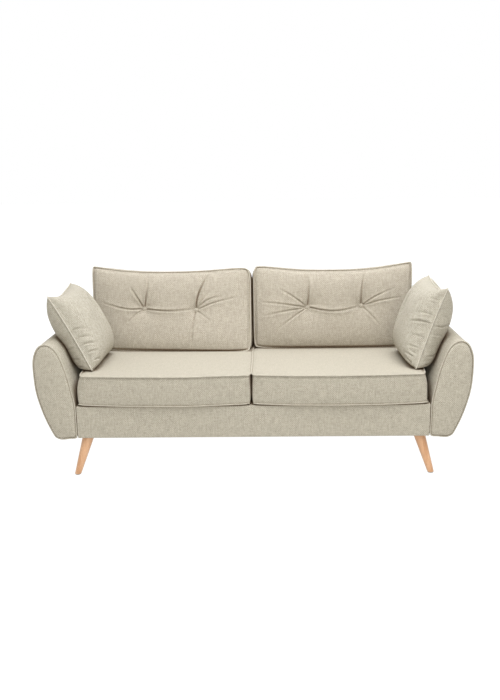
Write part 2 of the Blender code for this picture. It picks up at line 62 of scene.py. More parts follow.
# The arm's leaf-shaped outline: distance out from its inner face, and height.
ARM_OUTLINE = (
    (0.000, 0.200), (0.000, 0.270), (0.001, 0.345), (0.013, 0.415), (0.036, 0.517),
    (0.070, 0.605), (0.115, 0.641), (0.158, 0.629), (0.184, 0.575), (0.188, 0.500),
    (0.180, 0.400), (0.150, 0.290), (0.114, 0.206), (0.098, 0.186), (0.074, 0.178),
    (0.040, 0.181), (0.008, 0.184),
)
ARM_ENDS_IN = (0.005, 0.004)    # how far inside the CAD solid's ends the panels' edges lie
ARM_SHRINK = 0.005          # and inside that outline
ARM_PUFF = 0.005            # how far the wrap between the panels swells back out
ARM_DOME = 0.013            # how far the padded front panel stands out
ARM_DOME_REAR = 0.35        # the rear panel's share of that
WALL_BULGE = 0.010          # how far the arm's inner wall swells towards the seat cushion
WALL_BULGE_HEIGHT = 0.425
WALL_BULGE_WIDTH = 0.055
GROOVE = 0.0060             # depth of the arm panel's seam beside its cord

BACK_SLOPE = 0.17           # metres back for each metre up, of the inside back
REAR_SLOPE = 0.1057         # of the outside back
PANEL = 0.010               # thickness of the outside back
RAIL_PADDING = 0.0115       # thickness of the front rail's padding

LEG_EASE = 0.002            # radius of the rounded edges at a leg's ends

SEAT_CROWN = 0.008          # how far the middle of the top swells
SEAT_BOW = 0.013            # how far the middle of the front edge bows out
SEAT_SINK = 0.004           # and sinks
SEAT_LEAN = 0.010           # how much further back the front's bottom edge lies than its top
BACK_SINK = 0.007           # how far the back cushions press into the seat
SEAT_CORNERS = (0.022, 0.020)   # how much the corners draw in, across and front to back
# How far each seat cushion passes its CAD solid at the arm and at the middle of the sofa, and
# how far its top and bottom seams then lie inside that beside the arm.
SEAT_CUSHIONS = {
    "left": dict(at_arm=0.0040, at_middle=-0.0020, top_seam=0.0095, bottom_seam=0.0),
    "right": dict(at_arm=-0.0040, at_middle=0.0060, top_seam=0.0059, bottom_seam=-0.0070),
}

BUTTON_RADIUS = 0.0135
BUTTON_SPOTS = {               # (distance from the middle, height) as each has been pulled
    ("left", "inner"): (0.306, 0.690), ("left", "outer"): (0.580, 0.698),
    ("right", "inner"): (0.287, 0.697), ("right", "outer"): (0.570, 0.703),
}
DIMPLE = 0.040              # how deep a button pulls the front in
DIMPLE_REACH = 0.040
DIMPLE_FLAT = 0.011         # radius of the dimple's flat bottom under the button
CREASE_WIDTH = 0.0048
CREASE_GAIN = 1.5           # by which the depths in CREASES are multiplied
BACK_TALL = 0.401           # height of a back cushion's front, in the middle
BACK_PUFF = 0.042           # how far the filling domes the front
REAR_PUFF = 0.010           # and the rear
BACK_SEAM_IN = 0.020        # the front seam lies this far behind the CAD solid's front
TOP_FALL = 0.020            # how much lower the rear top seam of a back cushion lies
TOP_BELLY = 0.008           # how far its top band swells between its seams
# For the side at the middle of the sofa and the side at the arm: how far the side seams lie
# inside the side band, how much wider the band swells, and how far the front's and the rear's
# top corners are drawn down and their bottom corners up.
BOXING = (0.011, 0.007)
SIDE_BELLY = (0.003, 0.001)
CORNER_DRAW = (0.018, 0.010)
# gap moves the cushion's inner end away from the middle of the sofa, beyond its outer end
# towards the arm. rise_* lift its top corners, forward and turned bring its foot forward, evenly
# and at its inner end, tilt raises its foot's outer end and lowers the inner one, and rounding
# draws in its inner corners.
BACK_CUSHIONS = {
    "left": dict(gap=0.005, beyond=0.014, rise_inner=0.030, rise_outer=0.043, forward=0.020,
                 turned=0.060, tilt=0.005, rounding=0.048),
    "right": dict(gap=-0.008, beyond=-0.004, rise_inner=0.040, rise_outer=0.048, forward=0.002,
                  turned=0.0, tilt=0.0, rounding=0.034),
}
OUTER_ROUNDING = 0.020      # the same for the corners beside the arm

PILLOW_WIDTH = 0.434        # corner to corner, across
PILLOW_HEIGHT = 0.406       # and up the slope
PILLOW_WAIST = 0.021        # how far the filling draws in the middle of each edge
PILLOW_Y = {"left": -0.150, "right": -0.166}
PRESS_GAP = 0.003           # kept between a pillow and the arm that it presses on
PILLOW_FLAT = 0.012         # the bottom of a pillow flattens out below this height
PILLOW_CREASE_WIDTH = 0.0052
PILLOW_CREASE_GAIN = 1.4    # the same for PILLOW_CREASES
PILLOW_DENT = 0.026         # depth of the chop in its inner face, whose place is "dent"
# lean is in degrees, foot and lift place the bottom edge, inner and outer are how full the
# faces towards the seat and towards the arm are.
PILLOWS = {
    "left": dict(lean=27.5, foot=0.757, lift=0.004, inner=0.106, outer=0.098, dent=(0.30, 0.30)),
    "right": dict(lean=19.1, foot=0.765, lift=0.001, inner=0.109, outer=0.104, dent=(0.28, 0.25)),
}

# Creases of the buttoned back cushions. Each runs from a button, as (across, up) offsets in
# metres from it, with its depth.
CREASES = {
    ("left", "outer"): (
        (((-0.038, 0.062), (-0.076, 0.120)), 0.0100),
        (((0.012, 0.074), (0.028, 0.182)), 0.0125),
        (((-0.100, 0.004), (-0.238, 0.038)), 0.0070),
        (((-0.044, -0.026), (-0.098, -0.076)), 0.0050),
        (((0.140, -0.008), (0.272, -0.002)), 0.0100),
    ),
    ("left", "inner"): (
        (((0.016, 0.086), (0.082, 0.214)), 0.0160),
        (((0.034, 0.052), (0.084, 0.108)), 0.0055),
        (((0.062, 0.054), (0.150, 0.076)), 0.0065),
        (((0.100, 0.040), (0.245, 0.072)), 0.0055),
        (((-0.014, -0.075), (-0.028, -0.200)), 0.0088),
        (((0.038, -0.024), (0.080, -0.056)), 0.0045),
    ),
    ("right", "inner"): (
        (((0.006, 0.088), (0.000, 0.190)), 0.0125),
        (((-0.070, 0.054), (-0.156, 0.104)), 0.0070),
        (((-0.125, 0.020), (-0.262, 0.032)), 0.0070),
        (((-0.115, -0.016), (-0.246, -0.044)), 0.0060),
        (((-0.070, -0.044), (-0.164, -0.114)), 0.0055),
        (((0.146, -0.018), (0.286, 0.004)), 0.0100),
    ),
    ("right", "outer"): (
        (((0.004, 0.090), (0.026, 0.196)), 0.0120),
        (((0.078, 0.050), (0.178, 0.094)), 0.0065),
        (((0.100, 0.028), (0.222, 0.046)), 0.0060),
        (((0.048, -0.044), (0.098, -0.102)), 0.0060),
    ),
}

# Creases that run in from a pillow's front edge: on which of its faces, at which share of the
# half height each starts, its length, its slant and its depth.
PILLOW_CREASES = {
    "left": (
        ("inner", 0.06, 0.036, -0.80, 0.0052), ("inner", -0.15, 0.030, -0.90, 0.0048),
        ("inner", -0.34, 0.034, -0.80, 0.0050), ("inner", -0.56, 0.034, -0.60, 0.0050),
        ("inner", -0.78, 0.036, -0.30, 0.0052), ("outer", -0.30, 0.036, 0.10, 0.0036),
        ("outer", -0.60, 0.040, 0.45, 0.0042), ("outer", -0.80, 0.042, 0.50, 0.0048),
    ),
    "right": (
        ("inner", 0.13, 0.064, -0.42, 0.0066), ("outer", 0.10, 0.090, 0.52, 0.0068),
        ("inner", 0.32, 0.040, -0.30, 0.0034), ("outer", -0.10, 0.055, 0.25, 0.0038),
        ("inner", -0.22, 0.030, -0.40, 0.0026), ("inner", -0.50, 0.034, -0.20, 0.0028),
        ("inner", -0.72, 0.040, 0.10, 0.0042), ("inner", -0.86, 0.040, 0.30, 0.0050),
        ("outer", -0.62, 0.042, 0.50, 0.0038), ("outer", -0.82, 0.042, 0.40, 0.0048),
    ),
}

FABRIC_DARK = (0.205, 0.184, 0.137)
FABRIC_LIGHT = (0.570, 0.522, 0.418)
CREVICE_PAINTED_SHADE = (0.36, 0.21, 0.09)    # painted shade: what is left of the fabric's red, green and blue in a shaded crevice
PAINTED_SHADE_REACH = 0.031
NEUTRAL_LIGHT = (1.0, 1.0, 1.0)
COOL_LIGHT = (0.95, 0.985, 1.09)
AMBIENT = 0.72              # how strongly the white surroundings light the sofa
LIGHTS = (                  # name, place, aim, size, power, colour
    ("key_softbox", (0.6, -1.7, 3.6), (0.0, 0.0, 0.4), 2.6, 66.0, NEUTRAL_LIGHT),
    ("top_softbox", (0.2, -0.4, 3.2), (0.0, 0.0, 0.4), 2.6, 78.0, COOL_LIGHT),
    ("front_softbox", (0.5, -4.6, 1.6), (0.0, 0.0, 0.5), 2.4, 41.0, NEUTRAL_LIGHT),
)
FLOOR_REACH = 30.0
FLOOR_DROP = 0.0006         # the floor lies this far under the glides
CAMERA_PLACE = (0.0778, -3.9193, 1.4208)
CAMERA_DOWN, CAMERA_LEFT, CAMERA_ROLL = 13.158, 1.398, -0.871   # degrees


# ---- materials ----
class Shader:
    """A Principled material. Each method adds one node and gives its output."""

    def __init__(self, name, roughness, metallic=0.0, sheen=0.0):
        self.material = bpy.data.materials.new(name)
        self.material.use_nodes = True
        self.tree = self.material.node_tree
        self.surface = self.tree.nodes["Principled BSDF"]
        self.surface.inputs["Roughness"].default_value = roughness
        self.surface.inputs["Metallic"].default_value = metallic
        self.surface.inputs["Sheen Weight"].default_value = sheen
        self.surface.inputs["Sheen Roughness"].default_value = 0.45
        self.surface.inputs["Sheen Tint"].default_value = (0.88, 0.78, 0.62, 1.0)
        if sheen:
            self.surface.inputs["Specular IOR Level"].default_value = 0.2

    def feed(self, socket, value):
        """Link an output to the socket, or set the socket to a constant."""
        if isinstance(value, bpy.types.NodeSocket):
            self.tree.links.new(value, socket)
        else:
            socket.default_value = value

    def math(self, operation, a, b=0.0, c=0.0):
        node = self.tree.nodes.new("ShaderNodeMath")
        node.operation = operation
        for socket, value in zip(node.inputs, (a, b, c)):
            self.feed(socket, value)
        return node.outputs[0]

    def choose(self, switch, when_off, when_on):
        """One of two numbers, or a blend of them where switch lies between 0 and 1."""
        return self.math("MULTIPLY_ADD", switch, self.math("SUBTRACT", when_on, when_off), when_off)

    def mix(self, factor, first, second):
        node = self.tree.nodes.new("ShaderNodeMix")
        node.data_type = "RGBA"
        self.feed(node.inputs[0], factor)
        for socket, colour in zip(node.inputs[6:8], (first, second)):
            linked = isinstance(colour, bpy.types.NodeSocket)
            self.feed(socket, colour if linked else (*colour, 1))
        return node.outputs[2]

    def vector(self, x, y, z=0.0):
        node = self.tree.nodes.new("ShaderNodeCombineXYZ")
        for socket, value in zip(node.inputs, (x, y, z)):
            self.feed(socket, value)
        return node.outputs[0]

    def parts(self, vector):
        node = self.tree.nodes.new("ShaderNodeSeparateXYZ")
        self.feed(node.inputs[0], vector)
        return node.outputs[0], node.outputs[1], node.outputs[2]

    def noise(self, vector, scale, detail=2.0, roughness=0.5):
        node = self.tree.nodes.new("ShaderNodeTexNoise")
        self.feed(node.inputs["Vector"], vector)
        node.inputs["Scale"].default_value = scale
        node.inputs["Detail"].default_value = detail
        node.inputs["Roughness"].default_value = roughness
        return node.outputs[0]

    def place(self, kind="Object"):
        return self.tree.nodes.new("ShaderNodeTexCoord").outputs[kind]

    def spread(self, value, gain):
        """A noise value with more contrast about its middle."""
        return self.math("MULTIPLY_ADD", value, gain, 0.5 - 0.5 * gain)

    def bump(self, height, strength, distance):
        node = self.tree.nodes.new("ShaderNodeBump")
        node.inputs["Strength"].default_value = strength
        node.inputs["Distance"].default_value = distance
        self.feed(node.inputs["Height"], height)
        self.tree.links.new(node.outputs[0], self.surface.inputs["Normal"])

    def colour(self, value):
        self.feed(self.surface.inputs["Base Color"], value)

    def occlusion_for_painted_shade(self, reach, gain):
        """1 on open surfaces, falling towards 0 in crevices narrower than about reach: where shade
        is painted.
        """
        node = self.tree.nodes.new("ShaderNodeAmbientOcclusion")
        node.samples = 6
        node.inputs["Distance"].default_value = reach
        return self.math("MINIMUM", self.math("MULTIPLY", node.outputs["AO"], gain), 1.0)

    def on_surface(self):
        """Two coordinates along the surface, from the axis plane that it lies closest to."""
        x, y, z = self.parts(self.place())
        nx, ny, nz = (self.math("ABSOLUTE", n) for n in self.parts(self.place("Normal")))
        across = self.choose(self.math("GREATER_THAN", nx, ny), x, y)
        level = self.math("GREATER_THAN", nz, self.math("MAXIMUM", nx, ny))
        return self.choose(level, across, x), self.choose(level, z, y)

    def level_share_for_painted_sheen(self):
        """1 where the surface faces straight up or down, 0 where it slopes 30 degrees or more:
        where sheen is painted.
        """
        upright = self.math("ABSOLUTE", self.parts(self.place("Normal"))[2])
        rising = self.math("MULTIPLY_ADD", upright, 8.0, -7.0)
        return self.math("MINIMUM", self.math("MAXIMUM", rising, 0.0), 1.0)


def woven(name, dark, light, pitch=THREAD, bump=0.6, sheen=0.16):
    """A plain weave of thick, uneven yarns, with slubs along them and a nubbly mottle, painted
    shade in crevices and a painted sheen on level faces.
    """
    s = Shader(name, 0.92, sheen=sheen)
    a, b = s.on_surface()
    wobble = s.math("MULTIPLY", s.spread(s.noise(s.place(), 60.0), 1.0), 0.5)
    u = s.math("MULTIPLY_ADD", a, 1 / pitch, wobble)
    v = s.math("MULTIPLY_ADD", b, 1 / pitch, wobble)
    wave_u = s.math("SINE", s.math("MULTIPLY", u, math.pi))
    wave_v = s.math("SINE", s.math("MULTIPLY", v, math.pi))
    over = s.math("GREATER_THAN", s.math("MULTIPLY", wave_u, wave_v), 0.0)
    yarn = s.choose(over, s.math("ABSOLUTE", wave_v), s.math("ABSOLUTE", wave_u))
    along_v = s.noise(s.vector(u, s.math("MULTIPLY", v, 0.16)), 0.75)
    along_u = s.noise(s.vector(s.math("MULTIPLY", u, 0.36), v, 7.0), 0.8)
    slub = s.spread(s.choose(over, along_u, along_v), 3.0)
    nub = s.spread(s.noise(s.place(), 250.0, 1.0, 0.6), 3.6)
    tone = s.math("MULTIPLY_ADD", yarn, 0.46, s.math("MULTIPLY", slub, 0.31))
    tone = s.math("MULTIPLY_ADD", nub, 0.13, tone)
    tone = s.math("MULTIPLY_ADD", over, 0.20, s.math("SUBTRACT", tone, 0.08))
    # Painted sheen: on level faces the tone is made lighter and flatter, standing in for light
    # grazing the tops.
    tone = s.choose(s.level_share_for_painted_sheen(), tone, s.math("MULTIPLY_ADD", tone, 0.45, 0.37))
    yarn_colour = s.mix(tone, dark, light)
    # Painted shade: in crevices the yarn colours give way to darker, warmer copies of them.
    painted_crevice_shade = s.mix(tone, [p * q for p, q in zip(dark, CREVICE_PAINTED_SHADE)],
                       [p * q for p, q in zip(light, CREVICE_PAINTED_SHADE)])
    s.colour(s.mix(s.occlusion_for_painted_shade(PAINTED_SHADE_REACH, 1.5), painted_crevice_shade, yarn_colour))
    height = s.math("MULTIPLY_ADD", nub, 0.7, s.math("MULTIPLY_ADD", slub, 0.4, yarn))
    s.bump(height, bump, 0.0014)
    return s.material


def wood(name, dark, light, roughness, ring=38.0, coat=0.0):
    """Straight grain along Z, fine pores, and slow changes of tone."""
    s = Shader(name, roughness)
    s.surface.inputs["Coat Weight"].default_value = coat
    s.surface.inputs["Coat Roughness"].default_value = 0.3
    x, y, z = s.parts(s.place())
    sway = s.math("MULTIPLY", s.noise(s.place(), 5.0), 0.02)
    x, y = s.math("ADD", x, sway), s.math("SUBTRACT", y, sway)
    grain = s.noise(s.vector(x, y, s.math("MULTIPLY", z, 0.06)), ring * 4, 4.0, 0.6)
    bands = s.noise(s.vector(x, y, s.math("MULTIPLY", z, 0.10)), ring, 2.0, 0.5)
    pores = s.noise(s.vector(x, y, s.math("MULTIPLY", z, 0.03)), ring * 22, 2.0, 0.6)
    tone = s.math("MULTIPLY_ADD", s.spread(bands, 2.6), 0.55, s.math("MULTIPLY", grain, 0.45))
    pore_tone = s.math("MULTIPLY", s.math("GREATER_THAN", pores, 0.64), 0.22)
    tone = s.math("SUBTRACT", tone, pore_tone)
    s.colour(s.mix(tone, dark, light))
    s.bump(s.math("SUBTRACT", grain, pore_tone), 0.12, 0.0006)
    return s.material


def mottled(name, dark, light, roughness, scale=60.0, bump=0.2, metallic=0.0):
    """Foam, felt, lining cloth or plated steel: one colour with a fine uneven tone."""
    s = Shader(name, roughness, metallic)
    fine = s.spread(s.noise(s.place(), scale, 4.0, 0.65), 1.8)
    s.colour(s.mix(fine, dark, light))
    s.bump(fine, bump, 0.0008)
    return s.material


def make_materials():
    """The materials, by the material slot that they fill, with some more for single pieces."""
    return {
        "upholstery": woven("woven_body", FABRIC_DARK, FABRIC_LIGHT, sheen=0.08),
        "cushion": woven("woven_cushion", FABRIC_DARK, FABRIC_LIGHT),
        # Painted shade: a darker, warmer copy of the same fabric for the back cushions, standing in
        # for less light and warm bounce light on them.
        "back": woven("woven_back_cushion_shaded_copy", (0.198, 0.174, 0.130), (0.551, 0.492, 0.393),
                      sheen=0.06),
        # Painted shade: a slightly darker copy of the same fabric for the pillows, standing in for
        # less light on them.
        "pillow": woven("woven_pillow", (0.200, 0.181, 0.137), (0.550, 0.508, 0.410)),
        "piping": woven("woven_piping", (0.27, 0.243, 0.186), (0.55, 0.506, 0.409), 0.0030, 0.35),
        # Painted highlight: a lighter copy of the fabric, so that the pillows' cord reads as a lit
        # line.
        "pillow_piping": woven("pillow_cord_painted_highlight", (0.36, 0.33, 0.26), (0.66, 0.62, 0.52),
                               0.0030, 0.3),
        "leg_wood": wood("oiled_beech", (0.42, 0.20, 0.085), (0.66, 0.40, 0.225), 0.42, 45, 0.15),
        "timber": wood("sawn_pine", (0.42, 0.27, 0.14), (0.72, 0.56, 0.36), 0.75),
        "plywood": wood("plywood", (0.46, 0.31, 0.18), (0.74, 0.58, 0.38), 0.7, 20),
        "steel": mottled("zinc_plate", (0.40, 0.40, 0.42), (0.66, 0.66, 0.68), 0.35, 120, 0.05,
                         metallic=1.0),
        "webbing": woven("elastic_webbing", (0.01, 0.01, 0.01), (0.07, 0.07, 0.07), 0.0018),
        "lining": woven("deck_cloth", (0.10, 0.088, 0.070), (0.20, 0.178, 0.145), 0.0014, 0.3),
        "dust": mottled("spun_lining", (0.010, 0.010, 0.010), (0.035, 0.035, 0.035), 0.9, 400),
        "foam": mottled("foam", (0.60, 0.52, 0.33), (0.86, 0.80, 0.58), 0.9, 500, 0.4),
        "felt": mottled("grey_felt", (0.22, 0.21, 0.19), (0.42, 0.40, 0.36), 0.95, 700, 0.5),
    }


# ---- shapes ----
class Lattice:
    """The surface of a box cut into cells. The third way points to its face side."""

    def __init__(self, *counts):
        self.counts = counts
        self.grid = np.full([n + 1 for n in counts], -1)
        skin = np.zeros(self.grid.shape, bool)
        for axis in range(3):
            for end in (0, -1):
                skin[(slice(None),) * axis + (end,)] = True
        self.grid[skin] = np.arange(skin.sum())
        self.shares = 2 * np.argwhere(skin) / np.array(counts) - 1

    def side(self, axis, end):
        """One face's point numbers, ordered so that its rows cross its columns to face +axis."""
        found = np.take(self.grid, end, axis)
        return found.T if axis == 1 else found

    def quads(self):
        made = []
        for axis in range(3):
            for end in (0, -1):
                g = self.side(axis, end)
                corners = [g[:-1, :-1], g[1:, :-1], g[1:, 1:], g[:-1, 1:]]
                if end == 0:
                    corners.reverse()
                made.append(np.stack([c.ravel() for c in corners], 1))
        return np.concatenate(made)

    def rim(self, end):
        """Point numbers round the edge of the face at one end of the third way, in order."""
        g = self.grid[:, :, end]
        return np.concatenate([g[:-1, 0], g[-1, :-1], g[:0:-1, -1], g[0, :0:-1]])

    def refined(self, points, factor):
        """A finer lattice, and its points on smooth curves through these ones."""
        fine = Lattice(*(factor * n for n in self.counts))
        placed = np.empty((len(fine.shares), 3))
        for axis in range(3):
            for end in (0, -1):
                patch = in_between(points[self.side(axis, end)], factor)
                patch = in_between(patch.swapaxes(0, 1), factor).swapaxes(0, 1)
                placed[fine.side(axis, end)] = patch
        return fine, placed


def in_between(points, factor):
    """The rows with more rows between them, along Catmull-Rom curves."""
    ends = np.concatenate([[2 * points[0] - points[1]], points, [2 * points[-1] - points[-2]]])
    a, b, c, d = ends[:-3], ends[1:-2], ends[2:-1], ends[3:]
    made = np.empty(((len(points) - 1) * factor + 1, *points.shape[1:]))
    for k in range(factor):
        t = k / factor
        made[k:-1:factor] = 0.5 * (2 * b + (c - a) * t + (2 * a - 5 * b + 4 * c - d) * t ** 2
                                   + (3 * b - a - 3 * c + d) * t ** 3)
    made[-1] = points[-1]
    return made


def smooth_path(points, factor):
    """An open curve through the points."""
    return in_between(np.array(points, float), factor)


def smooth_loop(points, factor):
    """A closed curve through the points."""
    points = np.array(points, float)
    around = np.concatenate([points[-2:], points, points[:3]])
    return in_between(around, factor)[2 * factor:(2 + len(points)) * factor]


def piece(name, points, faces, material, body="frame"):
    """A smooth-shaded closed mesh with its faces pointing out, riding on a body."""
    mesh = bpy.data.meshes.new(name)
    mesh.from_pydata(np.asarray(points).tolist(), [], [list(map(int, f)) for f in faces])
    bm = bmesh.new()
    bm.from_mesh(mesh)
    bm.normal_update()
    bmesh.ops.recalc_face_normals(bm, faces=bm.faces)
    bm.to_mesh(mesh)
    bm.free()
    mesh.shade_smooth()
    mesh.materials.append(material)
    made = bpy.data.objects.new(name, mesh)
    bpy.context.scene.collection.objects.link(made)
    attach(made, body)
    return made


def ring_mesh(rows, closed=False):
    """Faces that join equal rings of points, with a cap on each open end."""
    count, around = len(rows), len(rows[0])
    ids = np.arange(count * around).reshape(count, around)
    turned = np.roll(ids, -1, 1)
    after, after_turned = np.roll(ids, -1, 0), np.roll(turned, -1, 0)
    last = None if closed else -1
    quads = np.stack([g[:last].ravel() for g in (ids, turned, after_turned, after)], 1)
    faces = [list(q) for q in quads]
    if not closed:
        faces += [list(ids[0]), list(ids[-1])]
    return np.concatenate(rows), faces


def tube(name, path, radius, material, body, closed=True, sides=8):
    """A round cord along a path that keeps its sides turned away from the path's middle."""
    path = np.asarray(path, float)
    ahead = np.roll(path, -1, 0) - np.roll(path, 1, 0)
    if not closed:
        ahead[0], ahead[-1] = path[1] - path[0], path[-1] - path[-2]
    ahead /= np.linalg.norm(ahead, axis=1, keepdims=True)
    out = path - path.mean(0)
    out -= (out * ahead).sum(1, keepdims=True) * ahead
    out /= np.linalg.norm(out, axis=1, keepdims=True)
    up = np.cross(ahead, out)
    turn = np.arange(sides) * 2 * np.pi / sides
    rows = [p + radius * (np.outer(np.cos(turn), o) + np.outer(np.sin(turn), q))
            for p, o, q in zip(path, out, up)]
    points, faces = ring_mesh(rows, closed)
    return piece(name, points, faces, material, body)


def uneven(a, b, seed, waves=6, slowest=3.0, fastest=14.0):
    """A smooth unevenness from about -1 to 1, the same on every run."""
    draw = np.random.default_rng(seed)
    total = np.zeros_like(a)
    for _ in range(waves):
        turn, speed = draw.uniform(0, np.pi), draw.uniform(slowest, fastest)
        phase = draw.uniform(0, 6)
        total += np.sin(speed * (a * np.cos(turn) + b * np.sin(turn)) + phase)
    return total / waves ** 0.5 / 1.5


def softened(shares):
    """Shares with more of them near the ends, so that rounded edges get more points."""
    return np.sin(shares * np.pi / 2)


def on_face(shares):
    """Which shares lie on the high face of their way. Their negatives tell the low face."""
    return shares > 0.999


def rounded_block(name, low, high, radius, counts, material, warp):
    """A box with rounded edges, bent by warp(points, shares), on the frame."""
    lattice = Lattice(*counts)
    low, high = np.array(low), np.array(high)
    half = (high - low) / 2
    points = softened(lattice.shares) * half
    core = np.clip(points, radius - half, half - radius)
    away = points - core
    length = np.linalg.norm(away, axis=1, keepdims=True)
    outer = np.abs(away).max(1, keepdims=True)
    points = core + away * np.divide(outer, length, out=np.ones_like(length), where=length > 0)
    points += (low + high) / 2
    return piece(name, warp(points, lattice.shares), lattice.quads(), material)


# ---- arms ----
def arm_loop(inner_x, sign):
    """The arm's outline as points in X and Z, and their directions out of it."""
    loop = smooth_loop(ARM_OUTLINE, 8)
    ahead = np.roll(loop, -1, 0) - np.roll(loop, 1, 0)
    out = np.stack([-ahead[:, 1], ahead[:, 0]], 1)
    out /= np.linalg.norm(out, axis=1, keepdims=True)
    flat = np.array([sign, 1.0])
    return loop * flat + np.array([sign * inner_x, 0.0]), out * flat


def make_arm(side, sign, materials):
    """One padded arm: a domed panel at each end, and the wrap between them."""
    low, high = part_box(f"arm_upholstery_{side}")
    inner = min(abs(low.x), abs(high.x))
    loop, out = arm_loop(inner, sign)
    loop -= out * ARM_SHRINK
    middle = loop.mean(0)
    front, rear = low.y + ARM_ENDS_IN[0], high.y - ARM_ENDS_IN[1]
    rows = []

    def add(flat, y):
        rows.append(np.stack([flat[:, 0], np.broadcast_to(y, len(flat)), flat[:, 1]], 1))

    def panel(share, y, way, dome):
        flat = middle + (loop - middle) * share
        swell = dome * (1 - share ** 2) ** 0.45 - GROOVE * math.exp(-((1 - share) / 0.030) ** 2)
        add(flat, y + way * (swell + 0.0012 * uneven(flat[:, 0], flat[:, 1], 3)))

    inner_side = np.arange(len(loop)) < loop[:, 1].argmax()
    from_bulge = (loop[:, 1] - WALL_BULGE_HEIGHT) / WALL_BULGE_WIDTH
    bulge = WALL_BULGE * inner_side * np.exp(-from_bulge ** 2)
    shares = np.sin(np.linspace(0.02, 1, 22) * np.pi / 2)
    for share in shares:
        panel(share, front, -1, ARM_DOME)
    for t in np.linspace(0, 1, 46)[1:-1]:
        y = front + (rear - front) * (t - 0.02 * math.sin(2 * math.pi * t))
        puff = (ARM_PUFF + bulge) * (1 - abs(2 * t - 1) ** 10)
        wave = 0.0014 * uneven(np.full(len(loop), y * 1.4), loop[:, 1] + loop[:, 0], 11)
        add(loop + out * (puff + wave)[:, None], y)
    for share in shares[::-1]:
        panel(share, rear, 1, ARM_DOME * ARM_DOME_REAR)
    points, faces = ring_mesh(rows)
    made = piece(f"arm_cover_{side}", points, faces, materials["upholstery"])
    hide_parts(f"arm_upholstery_{side}")
    for end, y in (("front", front + 0.0028), ("rear", rear - 0.0028)):
        flat = loop + out * 0.0020
        path = np.stack([flat[:, 0], np.full(len(flat), y), flat[:, 1]], 1)
        cord = tube(f"arm_piping_{end}_{side}", path, PIPING, materials["piping"], "frame")


# ---- base and back ----
def make_rail_cover(materials):
    """The padded cover of the front rail, and the lip that it turns over the deck's edge."""
    low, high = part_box("front_rail_cover")
    deck_low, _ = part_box("seat_deck")
    face = low.y + RAIL_PADDING

    def swell(points, shares):
        bulge = (1 - np.abs(shares[:, 2]) ** 4) * (1 - np.abs(shares[:, 0]) ** 40)
        front = np.clip(-shares[:, 1], 0, 1)
        points[:, 1] -= front * bulge * (0.003 + 0.001 * uneven(points[:, 0], points[:, 2], 5))
        return points

    rail = rounded_block("front_rail_padding", (low.x, low.y - 0.001, low.z - 0.001),
                         (high.x, face, high.z), 0.0055, (160, 8, 30),
                         materials["upholstery"], swell)
    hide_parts("front_rail_cover")
    lip = rounded_block("front_rail_lip", (low.x, face + 0.0003, deck_low.z),
                        (high.x, deck_low.y - 0.0003, high.z - 0.0002), 0.001, (40, 6, 2),
                        materials["upholstery"], lambda points, shares: points)


def straight_runs(corners, count=12):
    """The corners with evenly spaced points between them."""
    runs = [np.linspace(p, q, count, endpoint=False) for p, q in zip(corners, corners[1:])]
    return np.concatenate(runs + [[corners[-1]]])


def make_back(materials):
    """The padded inside back, the outside back panel and the piping round its edge."""
    low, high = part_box("inside_back_cover")
    bottom_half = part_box("seat_deck")[1].x - 0.004
    rear_low, rear_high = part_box("outside_back_panel")
    rear_bottom = rear_high.y - REAR_SLOPE * (rear_high.z - rear_low.z)

    def rear_y(z):
        return rear_bottom + REAR_SLOPE * (z - rear_low.z)

    def widen(z):
        return np.clip((z - low.z) / (high.z - low.z), 0, 1) * (high.x / bottom_half - 1) + 1

    def lean(points, shares):
        x, y, z = points.T.copy()
        ahead = low.y + BACK_SLOPE * (z - low.z)
        depth = (y - low.y) / (high.y - low.y)
        points[:, 1] = ahead + depth * (rear_y(z) - PANEL - 0.0008 - ahead)
        points[:, 0] = x * widen(z)
        inner = (1 - shares[:, 0] ** 6) * (1 - shares[:, 2] ** 6)
        points[:, 1] += np.where(shares[:, 1] < 0, 0.001 * inner * uneven(x, z, 8), 0)
        return points

    inside = rounded_block("inside_back_padding", (-bottom_half, low.y, low.z),
                           (bottom_half, high.y, high.z), 0.020, (120, 20, 40),
                           materials["upholstery"], lean)
    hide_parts("inside_back_cover")

    def rear_lean(points, shares):
        x, y, z = points.T.copy()
        points[:, 1] = y + rear_y(z) - rear_high.y
        points[:, 0] = x * widen(z)
        inner = (1 - shares[:, 0] ** 8) * (1 - shares[:, 2] ** 8)
        points[:, 1] += np.where(shares[:, 1] > 0, inner * (0.002 + 0.0012 * uneven(x, z, 9)), 0)
        return points

    outside = rounded_block(
        "outside_back_cover", (-bottom_half, rear_high.y - PANEL, rear_low.z),
        (bottom_half, rear_high.y, rear_high.z), 0.004, (120, 6, 44),
        materials["upholstery"], rear_lean)
    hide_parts("outside_back_panel")
    heights = (rear_low.z + 0.004, low.z, high.z - 0.012)
    corners = [(-bottom_half * widen(z), z) for z in heights]
    corners.append((-high.x + 0.010, high.z - 0.002))
    corners += [(-x, z) for x, z in reversed(corners)]
    x, z = straight_runs(corners).T
    path = np.stack([x, rear_y(z) - 0.003, z], 1)
    cord = tube("outside_back_piping", path, PIPING, materials["piping"], "frame", closed=False)


